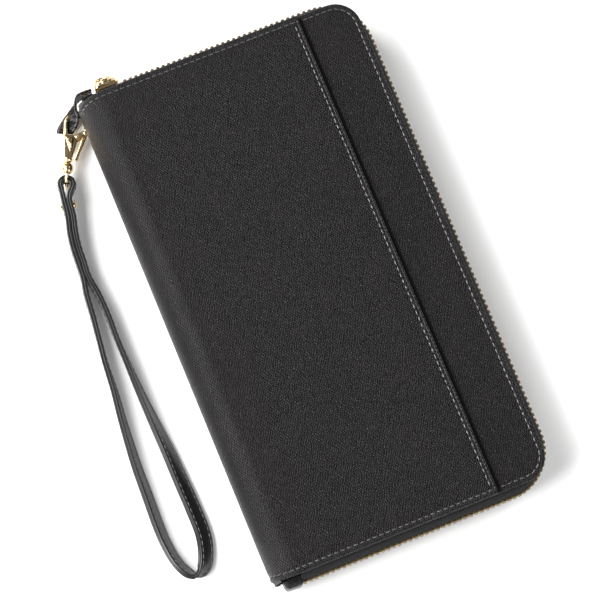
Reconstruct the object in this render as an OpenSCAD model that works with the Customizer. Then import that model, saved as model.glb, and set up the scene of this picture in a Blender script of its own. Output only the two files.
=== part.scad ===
// Zip-around travel document organizer, closed and lying on its back cover.
// +X runs from the spine to the long zip side, +Y to the end with the zip
// slider, +Z up through the thickness. Origin: centre of the back cover's face.

/* [Cover] */
// Length of the cover along the spine
cover_len = 230; // [226:1:236]
// Width of the closed cover, spine fold included
cover_w = 131; // [129:1:134]
// Thickness at the spine fold
fold_d = 25; // [25:0.5:26]
// Thickness of the outer cover leather
skin_t = 1; // [0.8:0.1:1]
// Thickness of the stiffening boards
board_t = 0.8; // [0.6:0.1:0.8]
// Corner radius of the cover on the zip side
corner_r = 12; // [10:1:14]
// Distance from the pocket's opening edge to the cover's zip edge
pocket_edge = 26; // [20:1:32]

/* [Zip] */
// How far the teeth stand out past the cover's edge
zip_bulge = 3.5; // [3:0.1:3.6]
// Corner radius of the row of teeth
zip_r = 22; // [20:1:24]
// Distance from one tooth to the next
tooth_pitch = 2.6; // [2.4:0.1:3]
// Length of the slider
slider_len = 11; // [10:0.5:12]
// Wire diameter of the pull ring
pull_wire = 1.6; // [1.2:0.1:1.8]

/* [Clasp and strap] */
// Wire diameter of the clasp's hook
hook_wire = 1.8; // [1.6:0.1:1.9]
// Width of the wrist strap
strap_w = 7.6; // [7:0.1:7.6]
// Thickness of the wrist strap
strap_t = 2.3; // [2:0.1:2.3]

/* [Inside] */
// Number of card slots
card_slots = 5; // [5:1:5]
// How far each card slot's mouth stands past the one below
card_step = 16; // [12:1:16]
// Clear height inside the middle pocket
middle_gap = 4.4; // [4.2:0.1:4.4]

/* [Hidden] */
$fn = 48;
// Small gap between pieces of different bodies
gap = 0.3;

// Cover outline
fold_r = fold_d / 2;
edge_x = cover_w / 2;
fold_x = -edge_x + fold_r;
edge_y = cover_len / 2;
mouth_x = edge_x - pocket_edge;
slip_gap = 0.5;
front_top = fold_d - skin_t - slip_gap;
front_in = front_top - skin_t;
zip_mid = front_top / 2;
lining_t = 0.4;
back_floor = skin_t + board_t + lining_t;
front_roof = front_in - board_t - lining_t;

// Zip outline: outer face of the teeth
zip_x = edge_x + zip_bulge;
zip_y = edge_y + zip_bulge;
turn_x = zip_x - zip_r;
turn_y = zip_y - zip_r;
tooth_len = 1.5;
tooth_d = 3;
tooth_h = 2.3;
row_gap = 0.6;
tape_t = 0.7;
tape_mid = tooth_d / 2;
tape_top = zip_mid - row_gap - tooth_h;
tape_flat = 2;
hem_in = 7;
slider_x = -54.9;
slider_end = slider_x + slider_len;
tail_x = -62;

// Fold lines of the spine, at 45 degrees round each quarter of the fold
fold_a = 45;
fold_dx = fold_r * sin(fold_a);

// Middle pocket
middle_z = 11.65;
middle_t = 0.5;
middle_x0 = -56;
middle_x1 = 44;
middle_y = 106;
middle_pin_x = -60.7;

// Clasp frame: origin on the rivet, x along the hook
clasp_pos = [-73.2, 103, 4.13];
clasp_turn = [0, 5.94, 66];
ring_c = [9, -1.9];
ring_r = 4.2;
gate_pin = [4.4, -6.5];
gate_pin_r = 0.6;
neck_y = 0.7;
eye_x = -20;
eye_h = 5.3;

// Wrist strap: the fold round the clasp's eye, the gathered stretch, the loop
eye_at = [-81.98, 85, 6.2];
wrap_r = 2.9;
ply_gap = 1.25;
gather = [
    [-84.4, 79, 6.1], [-85.6, 71, 5.7], [-87.4, 64, 5.1],
    [-88.5, 57, 4.5], [-88.9, 50, 4.1], [-89.4, 43, 3.9]
];
left_run = [
    [-92, 36], [-93, 26], [-94.3, 15], [-95.5, 5], [-96.4, -8], [-97.8, -20],
    [-98.9, -32], [-99.8, -44], [-100.2, -57], [-100.7, -70], [-100.5, -80],
    [-99, -89], [-95.8, -95.2]
];
right_run = [
    [-87, 34], [-86.6, 24], [-86.8, 12], [-86.5, 0], [-86.1, -14], [-85.4, -28],
    [-84.6, -42], [-84.2, -56], [-83.8, -70], [-84, -81], [-85.7, -88.5],
    [-88.4, -94], [-92, -96.6]
];
strap_z = 3.9;

// Leather tab: one pair of edge points for each station along it
tab_edges = [
    [[-56.6, 119.2, 6.9], [-56.6, 119.2, 16.5]],
    [[-60.5, 119.3, 6.7], [-60.5, 119.3, 16.4]],
    [[-63.3, 118.8, 5.6], [-62.9, 119.3, 15.4]],
    [[-65.4, 117.8, 4], [-64.2, 118.4, 12.6]],
    [[-67.9, 116.8, 2.4], [-64.7, 117, 9]],
    [[-71.2, 115.4, 1.1], [-64.9, 115.7, 5.6]],
    [[-74.2, 113.2, 0.85], [-64.9, 112.5, 4.6]],
    [[-76, 111.6, 0.8], [-67.2, 109.2, 3.4]],
    [[-77.1, 110, 0.75], [-70.4, 106.8, 1.6]]
];
tab_t = 1;

leather = [0.08, 0.08, 0.09];
lining = [0.16, 0.15, 0.16];
board = [0.55, 0.5, 0.42];
gold = [0.85, 0.7, 0.42];
cloth = [0.05, 0.05, 0.05];

// ---- shapes that several pieces share ----

// Half of a cover seen from above: straight at the spine, round on the zip side
module outline(x0, x1, y1, r) {
    translate([x0, -y1]) square([x1 - r - x0, 2 * y1]);
    translate([x0, r - y1]) square([x1 - x0, 2 * (y1 - r)]);
    for (s = [-1, 1]) translate([x1 - r, s * (y1 - r)]) circle(r);
}

module plate(x0, x1, y1, r, z0, t) {
    translate([0, 0, z0]) linear_extrude(t) outline(x0, x1, y1, r);
}

// Flat four-sided shape with round corners, as tall each way from the x axis
module rounded_box(x0, x1, y, r) {
    translate([x0 + r, -y]) square([x1 - x0 - 2 * r, 2 * y]);
    translate([x0, r - y]) square([x1 - x0, 2 * (y - r)]);
    for (x = [x0 + r, x1 - r], s = [-1, 1]) translate([x, s * (y - r)]) circle(r);
}

// Slab between two corners
module slab(a, b) {
    translate(a) cube(b - a);
}

// Part of the spine fold's wall, between two angles measured from -Z
module fold_wall(r_out, t, a0, a1) {
    translate([fold_x, edge_y, fold_r]) rotate([90, 0, 0]) rotate([0, 0, -90])
        linear_extrude(cover_len) intersection() {
            difference() {
                circle(r_out);
                circle(r_out - t);
            }
            polygon([[0, 0], [2 * fold_r * cos(a0), -2 * fold_r * sin(a0)],
                [3 * fold_r * cos((a0 + a1) / 2), -3 * fold_r * sin((a0 + a1) / 2)],
                [2 * fold_r * cos(a1), -2 * fold_r * sin(a1)]]);
        }
}

// Carries a cross-section (offset from the teeth's outer face, height) round
// three sides, from x_top at the slider's end to x_bottom at the other
module round_zip(x_top, x_bottom) {
    translate([x_top, zip_y, 0]) rotate([90, 0, 90]) linear_extrude(turn_x - x_top) children();
    translate([turn_x, turn_y, 0]) rotate_extrude(angle = 90) translate([zip_r, 0]) children();
    translate([zip_x, turn_y, 0]) rotate([90, 0, 0]) linear_extrude(2 * turn_y) children();
    mirror([0, 1, 0]) {
        translate([x_bottom, zip_y, 0]) rotate([90, 0, 90])
            linear_extrude(turn_x - x_bottom) children();
        translate([turn_x, turn_y, 0]) rotate_extrude(angle = 90)
            translate([zip_r, 0]) children();
    }
}

// The front half's zip is the back half's turned over about the zip's middle
module turned_over() {
    translate([0, 0, front_top]) mirror([0, 0, 1]) children();
}

module tape_section() {
    out = -tape_mid + tape_t / 2;
    polygon([[-hem_in, skin_t], [-4.6, skin_t], [-2.5, 2.8], [out, tape_top - tape_flat],
        [out, tape_top], [out - tape_t, tape_top], [out - tape_t, tape_top - tape_flat],
        [-3.2, 3.4], [-4.9, skin_t + tape_t], [-hem_in, skin_t + tape_t]]);
}

module tooth() {
    translate([-tooth_len / 2, -tooth_d, tape_top]) cube([tooth_len, tooth_d, tooth_h]);
}

// One row of teeth round three sides
module teeth() {
    top_n = floor((turn_x - slider_end - 1) / tooth_pitch);
    bottom_n = floor((turn_x - slider_x) / tooth_pitch);
    side_n = floor(2 * turn_y / tooth_pitch);
    turn_n = 12;
    for (i = [0:top_n - 1]) translate([turn_x - (i + 0.5) * tooth_pitch, zip_y, 0]) tooth();
    for (i = [0:bottom_n - 1]) translate([turn_x - (i + 0.5) * tooth_pitch, -zip_y, 0])
        mirror([0, 1, 0]) tooth();
    for (i = [0:side_n - 1])
        translate([zip_x, (i + 0.5 - side_n / 2) * tooth_pitch, 0]) rotate([0, 0, -90]) tooth();
    for (s = [-1, 1], i = [0:turn_n - 1])
        translate([turn_x, s * turn_y, 0]) rotate([0, 0, s * (i + 0.5) * 90 / turn_n - 90])
            translate([0, zip_r, 0]) tooth();
}

// A pocket panel held clear of the face behind it by its sewn edges
module pocket(x0, x1, y0, y1, z0, t, lift, sides) {
    seam = 2.5;
    slab([x0, y0, z0 + lift], [x1, y1, z0 + lift + t]);
    if (sides[0]) slab([x0, y0, z0], [x0 + seam, y1, z0 + lift]);
    if (sides[1]) slab([x1 - seam, y0, z0], [x1, y1, z0 + lift]);
    if (sides[2]) slab([x0, y0, z0], [x1, y0 + seam, z0 + lift]);
    if (sides[3]) slab([x0, y1 - seam, z0], [x1, y1, z0 + lift]);
}

// ---- back cover ----

module back_skin() {
    color(leather) {
        plate(fold_x, edge_x, edge_y, corner_r, 0, skin_t);
        fold_wall(fold_r, skin_t, 0, fold_a - 0.7);
    }
}

module back_board() {
    color(board)
        plate(fold_x, zip_x - hem_in, zip_y - hem_in, zip_r - hem_in, skin_t, board_t);
}

module back_lining() {
    color(lining)
        plate(fold_x, zip_x - hem_in, zip_y - hem_in, zip_r - hem_in, skin_t + board_t, lining_t);
}

module back_zip_tape() {
    tape_y = zip_y - tape_mid;
    color(cloth) {
        round_zip(fold_x, fold_x) tape_section();
        slab([tail_x, tape_y - tape_t / 2, tape_top - tape_flat],
            [fold_x, tape_y + tape_t / 2, tape_top]);
        slab([tail_x, tape_y - tape_t / 2, tape_top - tape_flat],
            [-57.4, tape_y + tape_t / 2, zip_mid + 5]);
    }
}

module back_zip_teeth() {
    color(gold) teeth();
}

module zip_top_stop() {
    color(gold) slab([-56.9, zip_y - tooth_d, tape_top], [-55.7, zip_y, tape_top + tooth_h]);
}

module zip_bottom_stop() {
    color(gold) slab([-58.6, -zip_y, tape_top], [-56.4, -zip_y + tooth_d, tape_top + 5]);
}

module ticket_pocket() {
    color(lining) pocket(-50, 40, -106, 106, back_floor, 0.5, 0.4, [true, false, true, true]);
}

module passport_sleeve() {
    color(leather) pocket(-48, 44, -104, 24, back_floor + 0.9, 0.5, 0.4, [true, true, true, false]);
}

module pen_loop() {
    loop_r = 5;
    color(cloth) translate([51, -12, back_floor + loop_r]) rotate([-90, 0, 0]) difference() {
        cylinder(r = loop_r, h = 36);
        translate([0, 0, -1]) cylinder(r = loop_r - 0.7, h = 38);
    }
}

// ---- spine ----

module spine_skin() {
    color(leather) fold_wall(fold_r, skin_t, fold_a + 0.7, 180 - fold_a - 0.7);
}

module spine_filler() {
    color(board) fold_wall(fold_r - skin_t, board_t, fold_a + 6, 180 - fold_a - 6);
}

module spine_lining() {
    color(lining)
        fold_wall(fold_r - skin_t - board_t, lining_t, fold_a + 6, 180 - fold_a - 6);
}

module middle_hinge() {
    wall_x = fold_x - fold_r + skin_t + board_t + lining_t;
    color(cloth) slab([wall_x + 0.15, -middle_y, middle_z - 0.4],
        [middle_pin_x - gap, middle_y, middle_z + 0.4]);
}

// ---- front cover ----

module front_skin() {
    color(leather) plate(fold_x, edge_x, edge_y, corner_r, front_in, skin_t);
}

// The slip pocket's panel runs on round the spine as the cover's outer layer
module slip_pocket() {
    seam = 4;
    color(leather) {
        slab([fold_x, -edge_y, fold_d - skin_t], [mouth_x, edge_y, fold_d]);
        for (s = [-1, 1]) slab([fold_x, s * edge_y - (s > 0 ? seam : 0), front_top],
            [mouth_x, s * edge_y + (s > 0 ? 0 : seam), fold_d - skin_t]);
        slab([fold_x, -edge_y, front_top], [fold_x + seam, edge_y, fold_d - skin_t]);
        fold_wall(fold_r, skin_t, 180 - fold_a + 0.7, 180);
    }
}

module front_board() {
    color(board) plate(fold_x, zip_x - hem_in, zip_y - hem_in, zip_r - hem_in,
        front_in - board_t, board_t);
}

module front_lining() {
    color(lining) plate(fold_x, zip_x - hem_in, zip_y - hem_in, zip_r - hem_in,
        front_roof, lining_t);
}

module front_zip_tape() {
    color(cloth) turned_over() round_zip(fold_x, fold_x) tape_section();
}

module front_zip_teeth() {
    color(gold) turned_over() teeth();
}

// Card slots lie like roof tiles, the lowest mouth nearest the reader
module card_slot(k) {
    depth = 0.4;
    z1 = front_roof - (card_slots - k) * depth;
    color(leather) slab([-46, -106, z1 - depth], [50, -40 + (k - 1) * card_step, z1 - 0.1]);
}

module window_frame() {
    color(leather) difference() {
        slab([-46, 34, front_roof - 0.8], [50, 106, front_roof]);
        slab([-38, 42, front_roof - 1], [42, 98, front_roof + 1]);
    }
}

module window_film() {
    color([0.8, 0.85, 0.9, 0.4]) slab([-38, 42, front_roof - 0.4], [42, 98, front_roof - 0.1]);
}

// ---- middle pocket ----

module middle_panel(z0) {
    slab([middle_x0, -middle_y, z0], [middle_x1, middle_y, z0 + middle_t]);
}

module middle_back_panel() {
    color(lining) middle_panel(middle_z - middle_gap / 2 - middle_t);
}

module middle_front_panel() {
    color(lining) middle_panel(middle_z + middle_gap / 2);
}

module middle_gusset() {
    wall = 0.8;
    low = middle_z - middle_gap / 2;
    high = middle_z + middle_gap / 2;
    color(cloth) {
        slab([middle_x0, -middle_y, low], [middle_x0 + wall, middle_y, high]);
        slab([middle_x0, -middle_y, low], [middle_x1 - 4, wall - middle_y, high]);
        slab([middle_x0, middle_y - wall, low], [middle_x1 - 4, middle_y, high]);
        slab([middle_pin_x, -middle_y, middle_z - 0.4], [middle_x0, middle_y, middle_z + 0.4]);
    }
}

// ---- zip slider and pull ----

module zip_slider() {
    plate_t = 1;
    low = zip_mid - 4.75;
    high = zip_mid + 4.75;
    out = zip_y + 0.4;
    in = zip_y - tooth_d - 0.4;
    lip = 0.8;
    lug = [3, 2.6, 3.2];
    lug_x = slider_x + (slider_len - lug[0]) / 2;
    color(gold) difference() {
        union() {
            slab([slider_x, out, low], [slider_end, out + plate_t, high]);
            slab([slider_x, in - plate_t, low], [slider_end, in, high]);
            for (z = [low, high - lip]) {
                slab([slider_x, out - 1.15, z], [slider_end, out, z + lip]);
                slab([slider_x, in, z], [slider_end, in + 1.15, z + lip]);
            }
            slab([slider_x, in, zip_mid - 0.3], [slider_x + 1.2, out, zip_mid + 0.3]);
            slab([lug_x, out + plate_t, zip_mid - lug[2] / 2],
                [lug_x + lug[0], out + plate_t + lug[1], zip_mid + lug[2] / 2]);
        }
        translate([lug_x - 1, out + plate_t + 1.3, zip_mid]) rotate([0, 90, 0])
            cylinder(d = pull_wire + 0.1, h = lug[0] + 2);
    }
}

// Oval ring: a straight bar through the slider's lug, two sides, a round end
module zip_pull() {
    w = 4;
    bend = 1.5;
    side = 6.2;
    lean = 24;
    r = pull_wire / 2;
    color(gold) translate([slider_x + slider_len / 2, zip_y + 2.7, zip_mid])
        rotate([lean, 0, 0]) {
            translate([bend - w, 0, 0]) rotate([0, 90, 0]) cylinder(r = r, h = 2 * (w - bend));
            for (s = [-1, 1]) {
                translate([s * (w - bend), 0, -bend]) rotate([90, 0, 0])
                    rotate([0, 0, s > 0 ? 0 : 90]) rotate_extrude(angle = 90)
                        translate([bend, 0]) circle(r);
                translate([s * w, 0, -bend - side]) cylinder(r = r, h = side);
            }
            translate([0, 0, -bend - side]) rotate([90, 0, 0]) rotate([0, 0, 180])
                rotate_extrude(angle = 180) translate([w, 0]) circle(r);
        }
}

// ---- leather tab at the end of the zip ----

function unit(v) = v / norm(v);

// Corner points of a ribbon at station i: two on each face
function ribbon_ring(edges, t, i) = let (
    n = len(edges),
    a = (edges[max(i - 1, 0)][0] + edges[max(i - 1, 0)][1]) / 2,
    b = (edges[min(i + 1, n - 1)][0] + edges[min(i + 1, n - 1)][1]) / 2,
    face = unit(cross(edges[i][1] - edges[i][0], b - a)) * t / 2
) [edges[i][0] + face, edges[i][1] + face, edges[i][1] - face, edges[i][0] - face];

// Skin over rings of k points each
module skinned(rings) {
    k = len(rings[0]);
    n = len(rings);
    points = [for (ring = rings) each ring];
    walls = [for (i = [0:n - 2], j = [0:k - 1]) let (
        a = i * k + j, b = i * k + (j + 1) % k, c = b + k, d = a + k
    ) each [[a, b, c], [a, c, d]]];
    start = [for (j = [k - 1:-1:0]) j];
    end = [for (j = [0:k - 1]) (n - 1) * k + j];
    polyhedron(points, concat(walls, [start, end]), convexity = 8);
}

// The tab has a slot where the clasp's ring goes through it
module zip_tab() {
    room = 1;
    color(leather) difference() {
        skinned([for (i = [0:len(tab_edges) - 1]) ribbon_ring(tab_edges, tab_t, i)]);
        in_clasp() translate([ring_c[0], ring_c[1], 0]) rotate([0, 0, -50])
            rotate_extrude(angle = 150) translate([ring_r, 0]) circle(hook_wire / 2 + room);
        in_clasp() translate([1, ring_c[1] + ring_r, 0]) rotate([0, 90, 0])
            cylinder(r = hook_wire / 2 + room + 0.3, h = ring_c[0] - 0.5);
        translate([-59.5, zip_y, zip_mid]) rotate([-90, 0, 0]) cylinder(r = 1, h = 4);
    }
}

module tab_rivet() {
    head = 0.7;
    grip = 1.2;
    color(gold) translate([-59.5, zip_y - 0.6, zip_mid]) rotate([-90, 0, 0]) {
        cylinder(r = 2.4, h = head);
        cylinder(r = 1, h = head + grip);
        translate([0, 0, head + grip]) cylinder(r = 2.4, h = head);
    }
}

// ---- clasp ----

module in_clasp() {
    translate(clasp_pos) rotate(clasp_turn) children();
}

module clasp_hook() {
    body_t = 3.4;
    r = hook_wire / 2;
    arm = 0.8;
    color(gold) in_clasp() difference() {
        union() {
            translate([0, 0, -body_t / 2]) linear_extrude(body_t)
                polygon([[3.4, 3], [-8, 2.6], [-8, -1], [0.6, -3.2], [2.6, -2.4], [3.4, -0.6]]);
            translate([-9.6, neck_y, 0]) rotate([0, 90, 0]) cylinder(r = 1.6, h = 2);
            translate([1, ring_c[1] + ring_r - r - 0.1, -r - 0.1])
                cube([ring_c[0] - 0.6, 2 * r + 0.2, 2 * r + 0.2]);
            translate([ring_c[0], ring_c[1], 0]) rotate([0, 0, -62])
                rotate_extrude(angle = 154) translate([ring_r, 0]) circle(r);
            for (z = [0.9, -0.9 - arm]) translate([0, 0, z]) linear_extrude(arm) {
                polygon([[0.4, -2.6], [2.8, -1.8], [5.6, -6.5], [3.2, -6.5]]);
                translate(gate_pin) circle(1.3);
            }
        }
        translate(concat(gate_pin, [-2])) cylinder(r = gate_pin_r, h = 4);
        translate([0, 0, body_t / 2 - 1]) cylinder(r = 0.8, h = 2);
        translate([-10, neck_y, 0]) rotate([0, 90, 0]) cylinder(r = 0.9, h = 5);
        translate([-6, neck_y, 0]) rotate([0, 90, 0]) cylinder(r = 1.3, h = 1.6);
    }
}

module clasp_gate() {
    bar = 0.75;
    tip = [9.8, -6.1];
    tail = [-8.4, -2.7];
    color(gold) in_clasp() difference() {
        union() {
            translate(concat(gate_pin, [-bar])) cylinder(r = 1.3, h = 2 * bar);
            translate(concat(gate_pin, [0])) rotate([0, 90, atan2(tip[1] - gate_pin[1],
                tip[0] - gate_pin[0])]) cylinder(r = bar, h = norm(tip - gate_pin));
            translate(concat(gate_pin, [-bar])) rotate([0, 0, atan2(tail[1] - gate_pin[1],
                tail[0] - gate_pin[0])]) translate([0, -0.9, 0])
                    cube([norm(tail - gate_pin), 1.8, 2 * bar]);
        }
        translate(concat(gate_pin, [-2])) cylinder(r = gate_pin_r + 0.06, h = 4);
    }
}

module clasp_gate_pin() {
    color(gold) in_clasp() translate(concat(gate_pin, [-1.7])) cylinder(r = gate_pin_r, h = 3.4);
}

// Headed shank, collar and the upright four-sided eye that the strap folds round
module clasp_swivel() {
    wire = 1.6;
    near_x = -14.2;
    color(gold) in_clasp() translate([0, neck_y, 0]) {
        translate([-13.4, 0, 0]) rotate([0, 90, 0]) cylinder(r = 0.85, h = 8.4);
        translate([-5.8, 0, 0]) rotate([0, 90, 0]) cylinder(r = 1.2, h = 1.2);
        translate([-14.5, 0, 0]) rotate([0, 90, 0]) cylinder(r = 2.4, h = 4.4);
        rotate([90, 0, 0]) translate([0, 0, -wire / 2]) linear_extrude(wire) difference() {
            rounded_box(eye_x - wire / 2, near_x, eye_h + wire / 2, 2);
            rounded_box(eye_x + wire / 2, near_x - wire, eye_h - wire / 2, 1);
        }
    }
}

// ---- wrist strap ----

function side_of(path, i, d) = let (
    n = len(path),
    t = path[min(i + 1, n - 1)] - path[max(i - 1, 0)],
    s = unit([-t[1], t[0], 0])
) path[i] - s * d;

function reversed(list) = [for (i = [len(list) - 1:-1:0]) list[i]];
function wrap_at(a) = eye_at + wrap_r * [cos(a), sin(a), 0];
function on_table(list) = [for (p = list) [p[0], p[1], strap_z]];

strap_path = concat(
    [for (a = [71, 110, 150, 190]) wrap_at(a)],
    [for (i = [0:len(gather) - 1]) side_of(gather, i, ply_gap)],
    on_table(left_run),
    on_table(reversed(right_run)),
    [for (i = [len(gather) - 1:-1:0]) side_of(gather, i, -ply_gap)],
    [for (a = [-56, -16, 24, 64]) wrap_at(a)]
);

// The strap stands on its edge, so its width is upright all the way round
function strap_ring(i) = let (
    n = len(strap_path),
    t = strap_path[min(i + 1, n - 1)] - strap_path[max(i - 1, 0)],
    s = unit([-t[1], t[0], 0]),
    h = strap_t / 2,
    w = strap_w / 2,
    bevel = 0.5
) [for (c = [[h, bevel - w], [h, w - bevel], [h - bevel, w], [bevel - h, w],
    [-h, w - bevel], [-h, bevel - w], [bevel - h, -w], [h - bevel, -w]])
    strap_path[i] + s * c[0] + [0, 0, c[1]]];

module wrist_strap() {
    color(leather) skinned([for (i = [0:len(strap_path) - 1]) strap_ring(i)]);
}

module strap_stud() {
    stud_h = 8.2;
    head_h = 1.4;
    color(gold) translate([-84.9, 76, 6]) rotate([0, 90, -8.5])
        translate([0, 0, -stud_h / 2]) {
            cylinder(r = 1.1, h = stud_h);
            cylinder(r = 2.4, h = head_h);
            translate([0, 0, stud_h - head_h]) cylinder(r = 2.4, h = head_h);
        }
}

back_skin();
back_board();
back_lining();
back_zip_tape();
back_zip_teeth();
zip_top_stop();
zip_bottom_stop();
ticket_pocket();
passport_sleeve();
pen_loop();
spine_skin();
spine_filler();
spine_lining();
middle_hinge();
front_skin();
slip_pocket();
front_board();
front_lining();
front_zip_tape();
front_zip_teeth();
card_slot(1);  // card_slot_1
card_slot(2);  // card_slot_2
card_slot(3);  // card_slot_3
card_slot(4);  // card_slot_4
card_slot(5);  // card_slot_5
window_frame();
window_film();
middle_back_panel();
middle_front_panel();
middle_gusset();
zip_slider();
zip_pull();
zip_tab();
tab_rivet();
clasp_hook();
clasp_gate();
clasp_gate_pin();
clasp_swivel();
wrist_strap();
strap_stud();
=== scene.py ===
"""A zip-around travel document organizer in black cross-grain leather, with its wrist strap."""

import math

import bmesh
import bpy
from mathutils import Euler, Matrix, Vector


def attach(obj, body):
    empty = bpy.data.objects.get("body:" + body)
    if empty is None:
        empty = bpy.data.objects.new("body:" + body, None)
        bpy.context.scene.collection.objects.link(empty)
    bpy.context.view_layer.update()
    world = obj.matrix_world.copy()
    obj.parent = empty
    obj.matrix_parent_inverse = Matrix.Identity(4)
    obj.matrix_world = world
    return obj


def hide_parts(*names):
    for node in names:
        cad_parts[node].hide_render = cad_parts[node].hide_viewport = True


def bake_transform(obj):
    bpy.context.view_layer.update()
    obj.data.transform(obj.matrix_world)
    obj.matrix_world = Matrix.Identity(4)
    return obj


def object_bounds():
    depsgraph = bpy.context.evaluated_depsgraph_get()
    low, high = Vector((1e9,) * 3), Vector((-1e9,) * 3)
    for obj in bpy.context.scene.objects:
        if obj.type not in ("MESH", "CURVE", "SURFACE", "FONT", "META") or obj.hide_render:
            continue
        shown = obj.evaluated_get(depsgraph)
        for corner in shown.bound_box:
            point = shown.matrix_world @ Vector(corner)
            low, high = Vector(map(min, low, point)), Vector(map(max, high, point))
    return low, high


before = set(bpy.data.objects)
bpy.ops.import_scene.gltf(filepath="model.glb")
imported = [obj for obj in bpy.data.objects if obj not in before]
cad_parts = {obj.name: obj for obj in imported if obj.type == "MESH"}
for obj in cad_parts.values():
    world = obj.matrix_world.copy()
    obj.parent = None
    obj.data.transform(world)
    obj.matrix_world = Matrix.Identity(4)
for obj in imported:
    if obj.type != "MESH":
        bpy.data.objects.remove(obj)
cad_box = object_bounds()

# ---- camera ----
# A long lens nearly straight above the front cover, rolled so that the organizer
# lies aslant. Lengths in this file are millimetres, and Blender's are metres.
mm = 0.001
camera_data = bpy.data.cameras.new("camera")
camera_data.sensor_width = 36
camera_data.lens = 204.83
camera_data.clip_end = 20
camera = bpy.data.objects.new("camera", camera_data)
camera.location = Vector((-190.2, -257.2, 1477.2)) * mm
camera.rotation_euler = Euler([math.radians(a) for a in (11.773, -2.853, -22.353)])
bpy.context.scene.collection.objects.link(camera)
bpy.context.scene.camera = camera

# ---- wrist strap ----
# Two plies of smooth black leather glued back to back, stitched near both edges
# and painted on the edges. It is folded through the clasp's eye, held together
# for 45 mm, and opens into a loop that lies on its edge.
strap_w = 7.6
strap_t = 2.3
strap_z = 3.9
eye_at = Vector((-81.98, 85, 6.2))
wrap_r = 2.9
ply_gap = 1.25
gather = [Vector(p) for p in [
    (-84.4, 79, 6.1), (-85.6, 71, 5.7), (-87.4, 64, 5.1),
    (-88.5, 57, 4.5), (-88.9, 50, 4.1), (-89.4, 43, 3.9),
]]
left_run = [
    (-92, 36), (-93, 26), (-94.3, 15), (-95.5, 5), (-96.4, -8), (-97.8, -20),
    (-98.9, -32), (-99.8, -44), (-100.2, -57), (-100.7, -70), (-100.5, -80),
    (-99, -89), (-95.8, -95.2),
]
right_run = [
    (-87, 34), (-86.6, 24), (-86.8, 12), (-86.5, 0), (-86.1, -14), (-85.4, -28),
    (-84.6, -42), (-84.2, -56), (-83.8, -70), (-84, -81), (-85.7, -88.5),
    (-88.4, -94), (-92, -96.6),
]
UP = Vector((0, 0, 1))


def side_of(points, i, distance):
    """The i-th point of a line, moved sideways on the table."""
    ahead = points[min(i + 1, len(points) - 1)] - points[max(i - 1, 0)]
    return points[i] - UP.cross(ahead).normalized() * distance


def wrap_at(degrees):
    """A point on the strap's fold round the clasp's eye."""
    turn = math.radians(degrees)
    return eye_at + Vector((math.cos(turn), math.sin(turn), 0)) * wrap_r


def spline(a, b, c, d, t):
    """A point between b and c, on a smooth curve through four points."""
    return 0.5 * (2 * b + (c - a) * t + (2 * a - 5 * b + 4 * c - d) * t * t
                  + (3 * b - a - 3 * c + d) * t * t * t)


def smooth_route(points, step):
    """Points about a step apart on a smooth curve through the given ones."""
    ends = [points[0] * 2 - points[1], *points, points[-1] * 2 - points[-2]]
    route = []
    for four in zip(ends, ends[1:], ends[2:], ends[3:]):
        count = max(1, round((four[2] - four[1]).length / step))
        route += [spline(*four, k / count) for k in range(count)]
    return route + [points[-1]]


def place(point, forward, up):
    """A frame whose X points to the side, Y up and Z along the line."""
    side = up.cross(forward).normalized()
    frame_axes = Matrix((side, forward.cross(side).normalized(), forward.normalized()))
    return Matrix.Translation(point) @ frame_axes.transposed().to_4x4()


def places_along(route, up_at=lambda point: UP):
    """A frame at each point of a route, by its upward direction there."""
    ahead = [route[min(i + 1, len(route) - 1)] - route[max(i - 1, 0)] for i in range(len(route))]
    return [place(p, a, up_at(p)) for p, a in zip(route, ahead)]


def sweep(profile, places, closed=False):
    """A bmesh of a closed profile carried through places. Its vertices know how far
    round the profile and how far along the sweep they are, in millimetres."""
    bm = bmesh.new()
    across, along = (bm.verts.layers.float.new(name) for name in ("across", "along"))
    ring = [bm.verts.new(places[0] @ Vector((x, y, 0))) for x, y in profile]
    reach = 0
    for i, vert in enumerate(ring):
        vert[across] = reach
        reach += math.dist(profile[i], profile[(i + 1) % len(profile)])
    edges = [bm.edges.new((a, b)) for a, b in zip(ring, ring[1:] + ring[:1])]
    if not closed:
        bm.faces.new(ring)
    distance = 0
    for before, after in zip(places, places[1:]):
        grown = bmesh.ops.extrude_edge_only(bm, edges=edges)["geom"]
        verts = [g for g in grown if isinstance(g, bmesh.types.BMVert)]
        edges = [g for g in grown if isinstance(g, bmesh.types.BMEdge)
                 and g.verts[0] in verts and g.verts[1] in verts]
        bmesh.ops.transform(bm, matrix=after @ before.inverted(), verts=verts)
        distance += (after.translation - before.translation).length
        for vert in verts:
            vert[along] = distance
    if closed:
        bmesh.ops.remove_doubles(bm, verts=bm.verts, dist=0.001)
    else:
        bmesh.ops.contextual_create(bm, geom=edges)
    bmesh.ops.recalc_face_normals(bm, faces=bm.faces)
    return bm


def make_piece(name, bm, material, body, sharp=40):
    """A finished object, in metres, which rides on a body if one is named."""
    mesh = bpy.data.meshes.new(name)
    bm.to_mesh(mesh)
    bm.free()
    mesh.transform(Matrix.Scale(mm, 4))
    mesh.shade_smooth()
    mesh.set_sharp_from_angle(angle=math.radians(sharp))
    mesh.materials.append(material)
    piece = bpy.data.objects.new(name, mesh)
    bpy.context.scene.collection.objects.link(piece)
    if body:
        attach(piece, body)
    return piece


def add_node(tree, kind, values=None, **settings):
    """A node with its settings, and its inputs linked where a socket is given."""
    new = tree.nodes.new(kind)
    for key, value in settings.items():
        setattr(new, key, value)
    for key, value in (values or {}).items():
        if isinstance(value, bpy.types.NodeSocket):
            tree.links.new(value, new.inputs[key])
        else:
            new.inputs[key].default_value = value
    return new


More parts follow.
